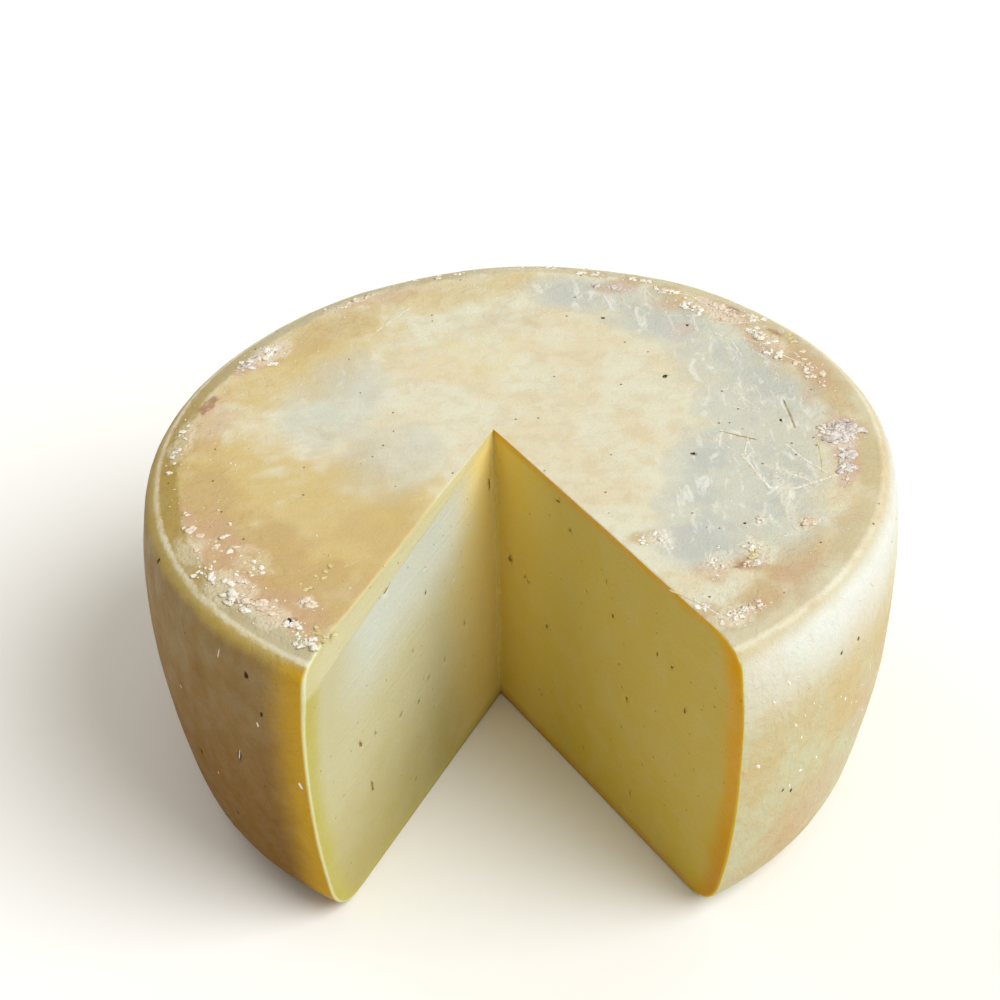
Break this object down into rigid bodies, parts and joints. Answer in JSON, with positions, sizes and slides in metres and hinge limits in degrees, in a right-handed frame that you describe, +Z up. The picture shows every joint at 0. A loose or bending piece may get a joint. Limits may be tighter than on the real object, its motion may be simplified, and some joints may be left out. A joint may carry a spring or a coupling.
{
  "type": "cheese wheel",
  "caption": "Round farmhouse cheese wheel with a bulging natural rind, a flat base and a wedge-shaped slice cut out of it from top to base.",
  "frame": {"origin": "middle of the bounding box, on the plane the wheel rests on", "axes": "+Z up, along the wheel's own axis; the notch opens towards -Y; +X to the right as the notch is faced"},
  "size_m": [0.26, 0.2442, 0.1234],
  "materials": {
    "cheese": "waxy natural rind outside, smooth moist cut paste in the notch"
  },
  "bodies": {
    "root": {"cheese_wheel": "cheese"}
  },
  "joints": []
}
